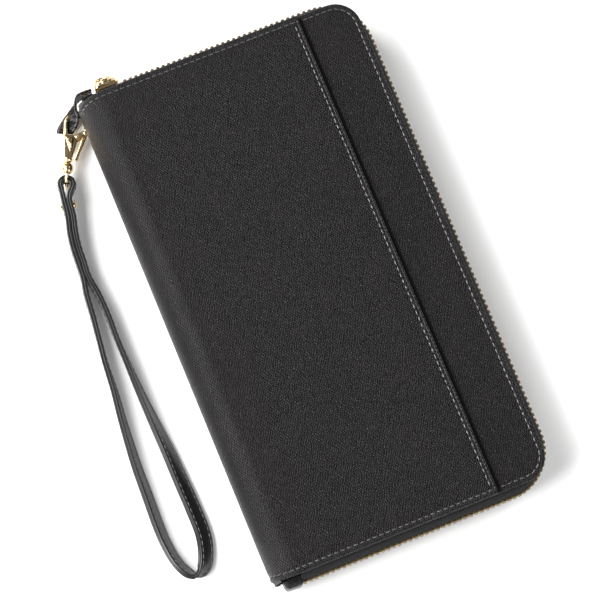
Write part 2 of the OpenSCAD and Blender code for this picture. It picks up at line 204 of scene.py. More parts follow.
def calc(tree, operation, a, b=0.0, c=0.0):
    """The result of one math node."""
    return add_node(tree, "ShaderNodeMath", {0: a, 1: b, 2: c}, operation=operation).outputs[0]


def new_group(name, inputs, outputs):
    """A node group: its tree, the sockets it is given and the ones it gives."""
    tree = bpy.data.node_groups.new(name, "ShaderNodeTree")
    for socket, kind in inputs.items():
        tree.interface.new_socket(socket, in_out="INPUT", socket_type=kind)
    for socket in outputs:
        tree.interface.new_socket(socket, in_out="OUTPUT", socket_type="NodeSocketFloat")
    given = tree.nodes.new("NodeGroupInput").outputs
    return tree, given, tree.nodes.new("NodeGroupOutput").inputs


def fill_group(tree, group, values):
    """What a group gives in this tree, once its inputs are set or linked."""
    new = add_node(tree, "ShaderNodeGroup", node_tree=group)
    for key, value in values.items():
        if isinstance(value, bpy.types.NodeSocket):
            tree.links.new(value, new.inputs[key])
        else:
            new.inputs[key].default_value = value
    return new.outputs


def new_material(name, **plain):
    """A material whose shader's own sockets hold what is the same all over."""
    material = bpy.data.materials.new(name)
    material.use_nodes = True
    shader = material.node_tree.nodes["Principled BSDF"]
    for key, value in plain.items():
        shader.inputs[key.replace("_", " ")].default_value = value
    return material, material.node_tree, shader


def on_surface(tree):
    """Position on the piece's own surface in millimetres: across it and along it."""
    across, along = (add_node(tree, "ShaderNodeAttribute", attribute_name=name).outputs["Fac"]
                     for name in ("across", "along"))
    return add_node(tree, "ShaderNodeCombineXYZ", {"X": across, "Y": along}).outputs[0]


def mixed(tree, share, low, high):
    """A colour between two, by a share that changes over the surface."""
    mix = add_node(tree, "ShaderNodeMix", {0: share, 6: (*low, 1), 7: (*high, 1)}, data_type="RGBA")
    return mix.outputs[2]


def between(tree, share, low, high):
    """A number between two, by a share that changes over the surface."""
    return add_node(tree, "ShaderNodeMapRange", {0: share, 3: low, 4: high}).outputs[0]


def bumped(tree, shader, height, depth, strength=1.0):
    """Raises the surface by up to a depth, in millimetres."""
    bump = add_node(tree, "ShaderNodeBump",
                    {"Height": height, "Distance": depth * mm, "Strength": strength})
    tree.links.new(bump.outputs["Normal"], shader.inputs["Normal"])


# Pores and soft creases of leather: a height, and slow patches of tone
pores, given, gives = new_group(
    "pores", {"Vector": "NodeSocketVector", "Size": "NodeSocketFloat"}, ["Height", "Patches"])
fine = calc(pores, "DIVIDE", 1.0, given["Size"])
cells = add_node(pores, "ShaderNodeTexVoronoi", {"Vector": given["Vector"], "Scale": fine})
creases = add_node(pores, "ShaderNodeTexNoise",
                   {"Vector": given["Vector"], "Scale": calc(pores, "MULTIPLY", fine, 0.4),
                    "Detail": 4.0})
patches = add_node(pores, "ShaderNodeTexNoise", {"Vector": given["Vector"], "Scale": 0.05,
                                                "Detail": 3.0})
pores.links.new(calc(pores, "ADD", calc(pores, "MULTIPLY", cells.outputs["Distance"], 0.5),
                     creases.outputs["Fac"]), gives["Height"])
pores.links.new(patches.outputs["Fac"], gives["Patches"])

strap_leather, tree, shader = new_material(
    "strap_leather", Coat_Weight=0.25, Coat_Roughness=0.2, Specular_IOR_Level=0.3)
grain = fill_group(tree, pores, {"Vector": on_surface(tree), "Size": 0.35})
tree.links.new(mixed(tree, grain["Patches"], (0.002, 0.002, 0.0022), (0.006, 0.0057, 0.006)),
               shader.inputs["Base Color"])
tree.links.new(between(tree, grain["Patches"], 0.3, 0.45), shader.inputs["Roughness"])
bumped(tree, shader, grain["Height"], 0.05, 0.5)

strap_route = smooth_route(
    [wrap_at(a) for a in range(70, 200, 20)]
    + [side_of(gather, i, ply_gap) for i in range(len(gather))]
    + [Vector((x, y, strap_z)) for x, y in left_run]
    + [Vector((x, y, strap_z)) for x, y in reversed(right_run)]
    + [side_of(gather, i, -ply_gap) for i in reversed(range(len(gather)))]
    + [wrap_at(a) for a in range(-56, 70, 20)], 1.6)

lean_from, lean_to = 28, -72
lean_left, lean_right = 30, 52
left_x, right_x = -100.5, -84


def strap_lean(point):
    """How far the strap's top edge tips towards -X: the loop's far end lies over."""
    t = min(max((lean_from - point.y) / (lean_from - lean_to), 0), 1)
    share = min(max((point.x - left_x) / (right_x - left_x), 0), 1)
    return math.radians(lean_left + (lean_right - lean_left) * share) * t * t * (3 - 2 * t)


def strap_up(point):
    """The way the strap's top edge points."""
    lean = strap_lean(point)
    return Vector((-math.sin(lean), 0, math.cos(lean)))


def lowered(point):
    """A leaning strap is less high, so its middle comes down to keep it on the table."""
    lean = strap_lean(point)
    half_high = strap_w / 2 * math.cos(lean) + strap_t / 2 * math.sin(lean)
    return point + UP * min(0, half_high + 0.1 - strap_z)


strap_route = [lowered(p) for p in strap_route]
half_t, half_w, edge_round, glue_dip = strap_t / 2, strap_w / 2, 0.35, 0.12
quarter = [(half_t, half_w - edge_round - 0.1), (half_t - 0.1, half_w - edge_round / 3),
           (half_t - edge_round, half_w), (glue_dip * 2, half_w - 0.02), (0, half_w - glue_dip)]
upper = quarter + [(-x, y) for x, y in reversed(quarter[:-1])]
strap_profile = upper + [(-x, -y) for x, y in upper]
strap = make_piece("strap", sweep(strap_profile, places_along(strap_route, strap_up)),
                   strap_leather, "strap")
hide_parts("wrist_strap")

# Waxed thread: a stitch is a short capsule laid in its groove
thread, tree, shader = new_material("thread", Roughness=0.28, Specular_IOR_Level=0.9)
where = add_node(tree, "ShaderNodeTexCoord").outputs["Object"]
strands = add_node(tree, "ShaderNodeTexWave", {"Vector": where, "Scale": 900.0, "Distortion": 1.0},
                   bands_direction="DIAGONAL")
tree.links.new(mixed(tree, strands.outputs["Fac"], (0.02, 0.019, 0.02), (0.08, 0.077, 0.08)),
               shader.inputs["Base Color"])
bumped(tree, shader, strands.outputs["Fac"], 0.08, 0.7)

stitch_r = 0.3


def walk(route, pitch, begin=0.0):
    """Points and directions every pitch along a route."""
    found, wait = [], begin
    for a, b in zip(route, route[1:]):
        span = (b - a).length
        while wait <= span and span > 0:
            found.append((a.lerp(b, wait / span), (b - a).normalized()))
            wait += pitch
        wait -= span
    return found


def stamp(bm, template, matrix):
    """Adds a copy of a small mesh at a place."""
    template.transform(matrix)
    bm.from_mesh(template)
    template.transform(matrix.inverted())


def template_of(bm):
    """A small mesh to be stamped many times."""
    mesh = bpy.data.meshes.new("template")
    bm.to_mesh(mesh)
    bm.free()
    return mesh


def stitch_template(length):
    """A stitch with rounded ends, lying along Z."""
    bm = bmesh.new()
    bmesh.ops.create_uvsphere(bm, u_segments=6, v_segments=4, radius=1)
    bmesh.ops.scale(bm, vec=(stitch_r, stitch_r, length / 2), verts=bm.verts)
    return template_of(bm)


stitch_pitch = 3.0
stitch = stitch_template(2.5)


def sew(bm, places):
    """Stitches at places whose X looks out of the leather and whose Z runs along the seam."""
    for spot in places:
        stamp(bm, stitch, spot)


seams = bmesh.new()
for side in (-1, 1):
    for height in (-1, 1):
        rows = [spot @ Matrix.Translation((side * (strap_t / 2 - 0.05), height * 2.5, 0))
                for spot in places_along(strap_route, strap_up)]
        line = [row.translation for row in rows]
        for point, forward in walk(line, stitch_pitch, 1.5):
            stamp(seams, stitch, place(point, forward, strap_up(point)))
strap_stitches = make_piece("strap_stitches", seams, thread, "strap")

# Rivet that holds the two plies together under the clasp: a gold post with domed heads
gold, tree, shader = new_material("gold", Metallic=1.0)
where = add_node(tree, "ShaderNodeTexCoord").outputs["Object"]
rub = add_node(tree, "ShaderNodeTexNoise", {"Vector": where, "Scale": 700.0, "Detail": 5.0})
cast = add_node(tree, "ShaderNodeTexNoise", {"Vector": where, "Scale": 60.0, "Detail": 2.0})
tree.links.new(mixed(tree, cast.outputs["Fac"], (0.62, 0.44, 0.21), (0.82, 0.64, 0.38)),
               shader.inputs["Base Color"])
tree.links.new(between(tree, rub.outputs["Fac"], 0.08, 0.26), shader.inputs["Roughness"])
bumped(tree, shader, rub.outputs["Fac"], 0.02, 0.25)


def turned(profile):
    """A bmesh of a profile of (radius, height) points, spun into a closed round part."""
    bm = bmesh.new()
    line = [bm.verts.new((r, 0, z)) for r, z in profile]
    edges = [bm.edges.new(pair) for pair in zip(line, line[1:])]
    bmesh.ops.spin(bm, geom=line + edges, cent=(0, 0, 0), axis=(0, 0, 1), dvec=(0, 0, 0),
                   angle=math.tau, steps=24, use_merge=True, use_duplicate=False)
    bmesh.ops.remove_doubles(bm, verts=bm.verts, dist=0.0005)
    bmesh.ops.recalc_face_normals(bm, faces=bm.faces)
    return bm


stud_h, head_r, head_h = 8.2, 2.3, 0.9
post_r = 1.0
rim = [(head_r * math.cos(math.radians(a)), head_h * math.sin(math.radians(a)))
       for a in (90, 70, 50, 30, 12, 0)]
dome = [(r, stud_h / 2 - head_h + z) for r, z in rim]
bm = turned([(max(r, 0), z) for r, z in dome] + [(post_r, stud_h / 2 - head_h)]
            + [(post_r, head_h - stud_h / 2)] + [(max(r, 0), -z) for r, z in reversed(dome)])
bmesh.ops.transform(bm, verts=bm.verts, matrix=Matrix.Translation((-84.9, 76, 6))
                    @ Euler((0, math.radians(90), math.radians(-8.5))).to_matrix().to_4x4())
stud = make_piece("stud", bm, gold, "strap")
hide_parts("strap_stud")

# ---- outer cover ----
# Black cross-grain leather, 1 mm thick, cut in one sheet for the back, the spine and
# the slip pocket's panel. Its edges are skived, turned in and sewn 2.5 mm from the rim.
cover_x, cover_y = 65.5, 115
fold_x, fold_r = -53, 12.5
mouth_x = 39.5
cover_top, under_top = 25, 23.5
corner_r = 12
leather_t = 0.9
spine_tuck = 2.2
# Each step of a rim goes in by the first number and up by the second
turned_rim = [(0.02, 0.45), (0.13, 0.25), (0.25, 0.15), (0.35, 0.05)]
seam_dip = [(0.5, 0.02), (0.55, -0.2), (0.6, -0.24), (0.3, 0.03), (0.4, 0.2), (1.2, 0.14), (4, 0.06)]


def outline(x0, x1, y0, y1, r=0, steps=8):
    """Points round a four-sided shape with round corners, or square ones."""
    if r == 0:
        return [(x1, y1), (x0, y1), (x0, y0), (x1, y0)]
    points = []
    for cx, cy, start in ((x1 - r, y1 - r, 0), (x0 + r, y1 - r, 90),
                          (x0 + r, y0 + r, 180), (x1 - r, y0 + r, 270)):
        for k in range(steps + 1):
            a = math.radians(start + 90 * k / steps)
            points.append((cx + r * math.cos(a), cy + r * math.sin(a)))
    return points


def rimmed(points, z, rim):
    """A face whose rim is worked in steps, each going in and up."""
    bm = bmesh.new()
    face = bm.faces.new([bm.verts.new((x, y, z)) for x, y in points])
    face.normal_update()
    for inwards, rise in rim:
        bmesh.ops.inset_region(bm, faces=[face], thickness=inwards, depth=rise,
                               use_boundary=True, use_even_offset=True)
    return bm


def cut_at(bm, x):
    """Keeps what is beyond x, and gives the edges of the cut."""
    geom = bm.verts[:] + bm.edges[:] + bm.faces[:]
    cut = bmesh.ops.bisect_plane(bm, geom=geom, plane_co=(x, 0, 0), plane_no=(1, 0, 0),
                                 clear_inner=True, dist=1e-4)["geom_cut"]
    return [g for g in cut if isinstance(g, bmesh.types.BMEdge)]


def round_fold(bm, edges, steps=28):
    """Carries the cut edges a quarter of the way round the spine, from the top."""
    bmesh.ops.spin(bm, geom=edges, cent=(fold_x, 0, fold_r), axis=(0, 1, 0), dvec=(0, 0, 0),
                   angle=-math.pi / 2, steps=steps, use_merge=False, use_duplicate=False)
    bmesh.ops.remove_doubles(bm, verts=bm.verts, dist=0.001)


def fold_angle(point):
    """How far round the fold a point is: 0 on the flat covers, 90 degrees at the middle."""
    if point.x >= fold_x:
        return 0
    return math.atan2(fold_x - point.x, abs(point.z - fold_r))


def tucked(point):
    """The spine's ends are drawn in a little where the leather is turned round the fold."""
    return point.y * (1 - spine_tuck / cover_y * math.sin(fold_angle(point)) ** 3)


def face_outwards(bm):
    """Faces a shell outwards, with its largest face up."""
    bmesh.ops.recalc_face_normals(bm, faces=bm.faces)
    largest = max(bm.faces, key=lambda f: f.calc_area())
    if largest.normal.z < 0:
        bmesh.ops.reverse_faces(bm, faces=bm.faces)


def turn_over(bm):
    """The back cover is the front cover turned over about the zip's middle plane."""
    bmesh.ops.scale(bm, vec=(1, 1, -1), verts=bm.verts)
    bmesh.ops.translate(bm, vec=(0, 0, 2 * fold_r), verts=bm.verts)
    bmesh.ops.reverse_faces(bm, faces=bm.faces)


def thicken(piece, thickness):
    """Gives a sheet its thickness, inwards, and applies it."""
    solid = piece.modifiers.new("thickness", "SOLIDIFY")
    solid.thickness = thickness * mm
    solid.offset = -1
    solid.use_quality_normals = True
    bake_modifiers(piece)


def bake_modifiers(piece):
    """Makes the modifiers' result the piece's own mesh."""
    shown = piece.evaluated_get(bpy.context.evaluated_depsgraph_get())
    piece.data = bpy.data.meshes.new_from_object(shown)
    piece.modifiers.clear()


def mark_surface(piece):
    """Tells the leather's pattern where each point is on the flat cut sheet."""
    across, along = (piece.data.attributes.new(name, "FLOAT", "POINT")
                     for name in ("across", "along"))
    for i, vert in enumerate(piece.data.vertices):
        point = vert.co / mm
        turn = fold_angle(point)
        across.data[i].value = fold_x - fold_r * turn if turn else point.x
        along.data[i].value = point.y


# Cross grain: two sets of fine embossed lines that cross aslant
cross_grain, given, gives = new_group(
    "cross_grain", {"Vector": "NodeSocketVector", "Pitch": "NodeSocketFloat"}, ["Height"])
spot = add_node(cross_grain, "ShaderNodeSeparateXYZ", {0: given["Vector"]})
wander = add_node(cross_grain, "ShaderNodeTexNoise",
                  {"Vector": given["Vector"], "Scale": 0.3, "Detail": 3.0})
drift = calc(cross_grain, "MULTIPLY", calc(cross_grain, "SUBTRACT", wander.outputs["Fac"], 0.5), 2.2)
lines = []
for slope in (-0.62, 0.62):
    aslant = calc(cross_grain, "MULTIPLY_ADD", spot.outputs["Y"], slope, spot.outputs["X"])
    turns = calc(cross_grain, "DIVIDE", calc(cross_grain, "ADD", aslant, drift), given["Pitch"])
    wave = calc(cross_grain, "SINE", calc(cross_grain, "MULTIPLY", turns, math.tau))
    lines.append(calc(cross_grain, "MULTIPLY_ADD", wave, 0.5, 0.5))
crossed = calc(cross_grain, "MULTIPLY", *lines)
broken = add_node(cross_grain, "ShaderNodeTexNoise",
                  {"Vector": given["Vector"], "Scale": 1.6, "Detail": 2.0})
height = calc(cross_grain, "MULTIPLY", crossed, calc(cross_grain, "ADD", broken.outputs["Fac"], 0.4))
cross_grain.links.new(height, gives["Height"])


def grained_leather(name, dark, light, pitch, depth, roughness):
    """Embossed leather: colour, line pitch and depth, roughness range. Its colour is painted lighter on
    the grain's ridges, a painted highlight, and darker in its grooves, painted shade, over slow random
    patches of tone.
    """
    material, tree, shader = new_material(name, Specular_IOR_Level=0.23)
    where = on_surface(tree)
    grain = fill_group(tree, cross_grain, {"Vector": where, "Pitch": pitch})
    skin = fill_group(tree, pores, {"Vector": where, "Size": 0.25})
    # Painted highlight and shade: the grain's height lightens the ridge tops and darkens the grooves; the
    # slow patches are the leather's own random tone
    tone = calc(tree, "MULTIPLY_ADD", grain["Height"], 0.5, calc(tree, "MULTIPLY", skin["Patches"], 0.5))
    tree.links.new(mixed(tree, tone, dark, light), shader.inputs["Base Color"])
    tree.links.new(between(tree, grain["Height"], roughness[1], roughness[0]),
                   shader.inputs["Roughness"])
    height = calc(tree, "MULTIPLY_ADD", skin["Height"], 0.12, grain["Height"])
    bumped(tree, shader, height, depth)
    return material


cover_leather = grained_leather("cover_leather", (0.0018, 0.0015, 0.0016), (0.0115, 0.0092, 0.0098),
                                1.15, 0.55, (0.17, 0.38))


def cover_half(x1, half_y, top, corner, rim, drop):
    """A flat cover from the fold to x1 with a worked rim, and its quarter of the spine."""
    points = outline(2 * fold_x - x1, x1, -half_y, half_y, corner)
    bm = rimmed(points, top - drop, rim)
    round_fold(bm, cut_at(bm, fold_x))
    for vert in bm.verts:
        vert.co.y = tucked(vert.co)
    face_outwards(bm)
    return bm


rim_rise = sum(rise for _, rise in turned_rim)


def bend_at_fold(piece):
    """Bakes the piece's place into its own mesh."""
    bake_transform(piece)


back_bm = cover_half(cover_x, cover_y, cover_top, corner_r, turned_rim + seam_dip, rim_rise)
turn_over(back_bm)
back_cover = make_piece("back_cover_leather", back_bm, cover_leather, None)
thicken(back_cover, leather_t)
mark_surface(back_cover)
bend_at_fold(back_cover)
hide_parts("back_skin", "spine_skin")

pocket_bm = cover_half(mouth_x, cover_y, cover_top, 0, turned_rim + seam_dip, rim_rise)
# The panel's ends are sewn down to the cover under it, all the way to its mouth
drop_to_cover = 0.6
for vert in pocket_bm.verts:
    low = vert.co.z < cover_top - 0.3 and vert.co.x > fold_x
    if low and abs(vert.co.y) > cover_y - 0.5:
        vert.co.z -= drop_to_cover
slip_panel = make_piece("slip_pocket_panel", pocket_bm, cover_leather, None)
thicken(slip_panel, leather_t)
mark_surface(slip_panel)
bend_at_fold(slip_panel)
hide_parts("slip_pocket", "spine_skin")

front_bm = rimmed(outline(2 * fold_x - cover_x, cover_x, -cover_y, cover_y, corner_r),
                  under_top - rim_rise, turned_rim + seam_dip)
cut_at(front_bm, fold_x + 1)
face_outwards(front_bm)
front_cover = make_piece("front_cover_leather", front_bm, cover_leather, "front")
thicken(front_cover, leather_t)
mark_surface(front_cover)
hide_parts("front_skin")

# ---- seams of the outer cover ----
# Black waxed thread, lock-stitched at 3 mm through the turned edges, 2.4 mm in from the
# rim. It follows the dip that it pulls into the leather, and goes on round the spine.
seam_in = 2.4
seam_depth = 0.3


def fold_places(line):
    """Places of stitches along a row that may go on round the fold."""
    found = []
    for point, forward in walk(line, stitch_pitch, stitch_pitch / 2):
        turn = fold_angle(point)
        up = Vector((-math.sin(turn), 0, math.cos(turn)))
        found.append(place(Vector((point.x, tucked(point), point.z)), forward, up))
    return found


def end_row(x_from, y, z):
    """A seam's line at one end of a cover: along the flat, then a quarter round the fold."""
    reach = z - fold_r
    arc = [Vector((fold_x - reach * math.sin(a), y, fold_r + reach * math.cos(a)))
           for a in (math.pi / 2 * k / 12 for k in range(13))]
    return [Vector((x_from, y, z))] + arc


def edge_row(x_from, z):
    """A seam's line from one end of a cover round its two corners to the other end."""
    x1, y1, r = cover_x - seam_in, cover_y - seam_in, corner_r - seam_in
    corner = [(r * math.cos(a), r * math.sin(a)) for a in (math.pi / 2 * k / 8 for k in range(9))]
    top_corner = [Vector((x1 - r + x, y1 - r + y, z)) for x, y in reversed(corner)]
    low_corner = [Vector((p.x, -p.y, z)) for p in reversed(top_corner)]
    return [Vector((x_from, y1, z))] + top_corner + low_corner + [Vector((x_from, -y1, z))]


def stitched(lines, over=False):
    """Stitches along lines on a cover, lying flat in the seam's dip."""
    bm = bmesh.new()
    for line in lines:
        sew(bm, fold_places(line))
    if over:
        turn_over(bm)
    return bm


ends = [end_row(mouth_x - 1.5, s * (cover_y - seam_in), cover_top - seam_depth) for s in (-1, 1)]
mouth_row = [Vector((mouth_x - seam_in, y, cover_top - seam_depth)) for y in (-111, 111)]
panel_seam = make_piece("slip_pocket_seam", stitched(ends), thread, None)
bend_at_fold(panel_seam)
make_piece("mouth_seam", stitched([mouth_row]), thread, "front")
make_piece("front_edge_seam", stitched([edge_row(mouth_x + 1.5, under_top - seam_depth)]), thread,
           "front")
back_line = edge_row(fold_x, cover_top - seam_depth)
back_ends = [end_row(fold_x, s * (cover_y - seam_in), cover_top - seam_depth) for s in (-1, 1)]
back_seam = make_piece("back_edge_seam", stitched([back_line] + back_ends, True), thread,
                       None)
bend_at_fold(back_seam)

# ---- zip tapes ----
# Two black woven tapes, sewn between each cover and its lining. They bulge out past
# the covers' edges, round three sides, and carry the teeth on their corded edges.
zip_x, zip_y, zip_r, zip_mid = 69, 118.5, 22, 11.75
tape_start, tape_end = -57, fold_x
slider_x, slider_len = -54.9, 11


def zip_route(x_start, x_end):
    """Round the three zipped sides along the teeth's outer face, from the slider's end."""
    turn_x, turn_y = zip_x - zip_r, zip_y - zip_r
    corner = [Vector((turn_x + zip_r * math.sin(a), turn_y + zip_r * math.cos(a), 0))
              for a in (math.pi / 2 * k / 16 for k in range(17))]
    back = [Vector((p.x, -p.y, 0)) for p in reversed(corner)]
    return [Vector((x_start, zip_y, 0))] + corner + back + [Vector((x_end, -zip_y, 0))]


# A plain weave: crossing threads that pass over and under each other
weave, given, gives = new_group(
    "weave", {"Vector": "NodeSocketVector", "Thread": "NodeSocketFloat"}, ["Height", "Fuzz"])
spot = add_node(weave, "ShaderNodeSeparateXYZ", {0: given["Vector"]})
runs = [calc(weave, "DIVIDE", spot.outputs[axis], given["Thread"]) for axis in ("X", "Y")]
rounds = [calc(weave, "ABSOLUTE", calc(weave, "SINE", calc(weave, "MULTIPLY", run, math.pi)))
          for run in runs]
over = calc(weave, "ABSOLUTE", calc(weave, "SUBTRACT", *(
    calc(weave, "MODULO", calc(weave, "FLOOR", run), 2.0) for run in runs)))
cloth_height = add_node(weave, "ShaderNodeMix", {0: over, 2: rounds[0], 3: rounds[1]})
fuzz = add_node(weave, "ShaderNodeTexNoise", {"Vector": given["Vector"], "Scale": 3.0, "Detail": 3.0})
weave.links.new(cloth_height.outputs[0], gives["Height"])
weave.links.new(fuzz.outputs["Fac"], gives["Fuzz"])


def woven(name, dark, light, thread_size, depth, sheen):
    """Cloth of one colour: dark and light tones, thread size and depth in millimetres."""
    material, tree, shader = new_material(name, Roughness=0.8, Specular_IOR_Level=0.12,
                                          Sheen_Weight=sheen, Sheen_Roughness=0.4)
    cloth = fill_group(tree, weave, {"Vector": on_surface(tree), "Thread": thread_size})
    tone = calc(tree, "MULTIPLY_ADD", cloth["Height"], 0.6, calc(tree, "MULTIPLY", cloth["Fuzz"], 0.4))
    tree.links.new(mixed(tree, tone, dark, light), shader.inputs["Base Color"])
    bumped(tree, shader, cloth["Height"], depth)
    return material


tape_cloth = woven("tape_cloth", (0.003, 0.003, 0.0035), (0.016, 0.0155, 0.017), 0.45, 0.12, 0.03)
tape_outside = [(-7, 1.15), (-4.7, 1.2), (-3.3, 1.9), (-2.3, 3.4), (-1.65, 5.4), (-1.2, 7.3),
                (-0.95, 8.3), (-1.0, 9.0)]
tape_inside = [(-1.9, 9.0), (-1.95, 8.3), (-1.8, 7.3), (-2.25, 5.5), (-2.9, 3.7), (-3.75, 2.5),
               (-4.9, 1.8), (-7, 1.75)]
tape_profile = tape_outside + tape_inside


def zip_piece(name, bm, material, front):
    """A piece of the zip on the back cover, or turned over onto the front cover."""
    if front:
        bmesh.ops.scale(bm, vec=(1, 1, -1), verts=bm.verts)
        bmesh.ops.translate(bm, vec=(0, 0, 2 * zip_mid), verts=bm.verts)
        bmesh.ops.reverse_faces(bm, faces=bm.faces)
    return make_piece(name, bm, material, "front" if front else "back")


for front, start in ((False, tape_start), (True, fold_x)):
    side = "front" if front else "back"
    tape = zip_piece(side + "_tape", sweep(tape_profile, places_along(zip_route(start, tape_end))),
                     tape_cloth, front)
    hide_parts(side + "_zip_tape")

# ---- zip teeth and stops ----
# Brass teeth, pressed over the tapes' corded edges at 2.6 mm. Each has two
# legs and a rounded head; the heads of one row close between those of the other.
tooth_pitch = 2.6
tooth_metal, tree, shader = new_material("tooth_metal", Metallic=1.0)
where = add_node(tree, "ShaderNodeTexCoord").outputs["Object"]
tarnish = add_node(tree, "ShaderNodeTexNoise", {"Vector": where, "Scale": 400.0, "Detail": 4.0})
tree.links.new(mixed(tree, tarnish.outputs["Fac"], (0.11, 0.078, 0.04), (0.4, 0.3, 0.155)),
               shader.inputs["Base Color"])
tree.links.new(between(tree, tarnish.outputs["Fac"], 0.2, 0.45), shader.inputs["Roughness"])
bumped(tree, shader, tarnish.outputs["Fac"], 0.03, 0.4)


def block(low, high, bevel, segments=1):
    """A bmesh of a box between two corners, with eased edges."""
    low, high = Vector(low), Vector(high)
    bm = bmesh.new()
    bmesh.ops.create_cube(bm, size=1)
    size = high - low
    bmesh.ops.scale(bm, vec=size, verts=bm.verts)
    bmesh.ops.translate(bm, vec=(low + high) / 2, verts=bm.verts)
    bmesh.ops.bevel(bm, geom=bm.edges[:], offset=bevel, offset_type="OFFSET", affect="EDGES",
                    segments=segments, profile=0.5, material=-1, clamp_overlap=True)
    return bm


def joined(parts, matrix=Matrix()):
    """One bmesh of several, moved to a place."""
    bm = bmesh.new()
    for part in parts:
        stamp(bm, template_of(part), matrix)
    return bm


legs = block((-3, 8.5, -0.75), (0, 10.4, 0.75), 0.25)
head = block((-2.6, 10.1, -0.6), (-0.15, 12.3, 0.6), 0.35)
tooth = template_of(joined([legs, head]))
first_tooth = slider_x + slider_len + 1.5
for front in (False, True):
    row = bmesh.new()
    shift = tooth_pitch / 2 if front else 0
    for point, forward in walk(zip_route(first_tooth, fold_x), tooth_pitch, shift):
        stamp(row, tooth, place(point, forward, UP))
    side = "front" if front else "back"
    teeth = zip_piece(side + "_teeth", row, tooth_metal, front)
    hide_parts(side + "_zip_teeth")

top_stop = make_piece("top_stop", block((-56.9, 115.5, 8.9), (-55.7, 118.5, 11.2), 0.3, 2),
                      tooth_metal, "back")
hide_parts("zip_top_stop")
low_stop = make_piece("bottom_stop", block((-58.6, -118.5, 8.9), (-56.4, -115.5, 13.9), 0.4, 2),
                      tooth_metal, "back")
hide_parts("zip_bottom_stop")
# A leather patch covers the zip's lower end and its stop
end_patch = make_piece("zip_end_patch", block((-60.8, -119, 5.5), (-52, -113.4, 18), 2.2, 6),
                       cover_leather, "back")
mark_surface(end_patch)

# ---- slider and pull ring ----
# Die-cast slider plated in champagne gold: two wing plates joined by a wedge, with a
# bridge over the outer one. The pull is an oval ring of round wire through the bridge.
slider_mid_x = slider_x + slider_len / 2
wing_wide, wing_narrow, wing_t = 4.75, 3.9, 1.0
wing_round = 1.2


def plate(points, thickness, bevel, segments=2):
    """A bmesh of a flat plate, cut to an outline, with eased edges."""
    bm = bmesh.new()
    face = bm.faces.new([bm.verts.new((x, y, -thickness / 2)) for x, y in points])
    grown = bmesh.ops.extrude_face_region(bm, geom=[face])["geom"]
    bmesh.ops.translate(bm, vec=(0, 0, thickness),
                        verts=[g for g in grown if isinstance(g, bmesh.types.BMVert)])
    bmesh.ops.recalc_face_normals(bm, faces=bm.faces)
    bmesh.ops.bevel(bm, geom=bm.edges[:], offset=bevel, offset_type="OFFSET", affect="EDGES",
                    segments=segments, profile=0.5, material=-1, clamp_overlap=True)
    return bm


half = slider_len / 2
wing = [(-half, -wing_wide + wing_round), (-half + wing_round, -wing_wide), (-1, -wing_wide),
        (1.5, -wing_narrow), (half - wing_round, -wing_narrow), (half, -wing_narrow + wing_round)]
wing += [(x, -y) for x, y in reversed(wing)]


def wing_at(y):
    """A wing plate, facing +Y at a height over the teeth."""
    turn = Matrix.Translation((slider_mid_x, y, zip_mid)) @ Matrix.Rotation(math.pi / 2, 4, "X")
    return joined([plate(wing, wing_t, 0.3)], turn)


out_y, in_y = zip_y + 0.4, zip_y - 3.4
flanges = []
for s in (-1, 1):
    z0, z1 = sorted((zip_mid + s * wing_narrow, zip_mid + s * (wing_narrow - 0.8)))
    flanges.append(block((slider_x + 1, out_y - 1.1, z0), (slider_x + slider_len - 0.5, out_y + 0.3, z1),
                         0.2))
    flanges.append(block((slider_x + 1, in_y - 0.3, z0), (slider_x + slider_len - 0.5, in_y + 1.1, z1),
                         0.2))
wedge = block((slider_x + 0.1, in_y - 0.2, zip_mid - 0.9), (slider_x + 1.6, out_y + 0.2, zip_mid + 0.9),
              0.4)


def wire(route, radius, up, closed=False):
    """A bmesh of round wire along a route, without twist, and with domed ends."""
    places = []
    for i in range(len(route)):
        if closed:
            ahead = route[(i + 1) % (len(route) - 1)] - route[i - 1 if i else -2]
        else:
            ahead = route[min(i + 1, len(route) - 1)] - route[max(i - 1, 0)]
        spot = place(route[i], ahead, up)
        up = spot.col[1].xyz
        places.append(spot)
    if not closed:
        cap = [(radius * math.sin(a), math.cos(a)) for a in (math.radians(d) for d in (30, 60, 82))]
        last = [places[-1] @ Matrix.Translation((0, 0, z)) @ Matrix.Diagonal((s, s, 1, 1))
                for z, s in cap]
        first = [places[0] @ Matrix.Translation((0, 0, -z)) @ Matrix.Diagonal((s, s, 1, 1))
                 for z, s in reversed(cap)]
        places = first + places + last
    turns = [math.tau * k / 12 for k in range(12)]
    return sweep([(radius * math.cos(a), radius * math.sin(a)) for a in turns], places, closed)


def arc_points(centre, radius, start, end, steps):
    """Points on an arc in the XY plane, by its angles in degrees."""
    angles = [math.radians(start + (end - start) * k / steps) for k in range(steps + 1)]
    return [Vector((centre[0] + radius * math.cos(a), centre[1] + radius * math.sin(a), 0))
            for a in angles]


hinge_y = zip_y + 2.7
bridge_w, bridge_t = 3.0, 0.9
bridge_r = 1.55
bridge_line = [Vector((0, out_y + 0.7, -bridge_r)), Vector((0, hinge_y - 0.3, -bridge_r))]
bridge_line += [Vector((0, hinge_y + bridge_r * math.cos(a), bridge_r * math.sin(a)))
                for a in (math.radians(d) for d in range(-75, 90, 15))]
bridge_line += [Vector((0, hinge_y - 0.3, bridge_r)), Vector((0, out_y + 0.7, bridge_r))]
bridge_line = [p + Vector((slider_mid_x, 0, zip_mid)) for p in bridge_line]
bridge_profile = outline(-bridge_t / 2, bridge_t / 2, -bridge_w / 2, bridge_w / 2, 0.3, 2)
bridge = sweep(bridge_profile, places_along(bridge_line, lambda point: Vector((1, 0, 0))))
slider = make_piece("slider", joined([wing_at(out_y + wing_t / 2), wing_at(in_y - wing_t / 2), wedge,
                                      bridge] + flanges), gold, "slider", 30)
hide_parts("zip_slider")

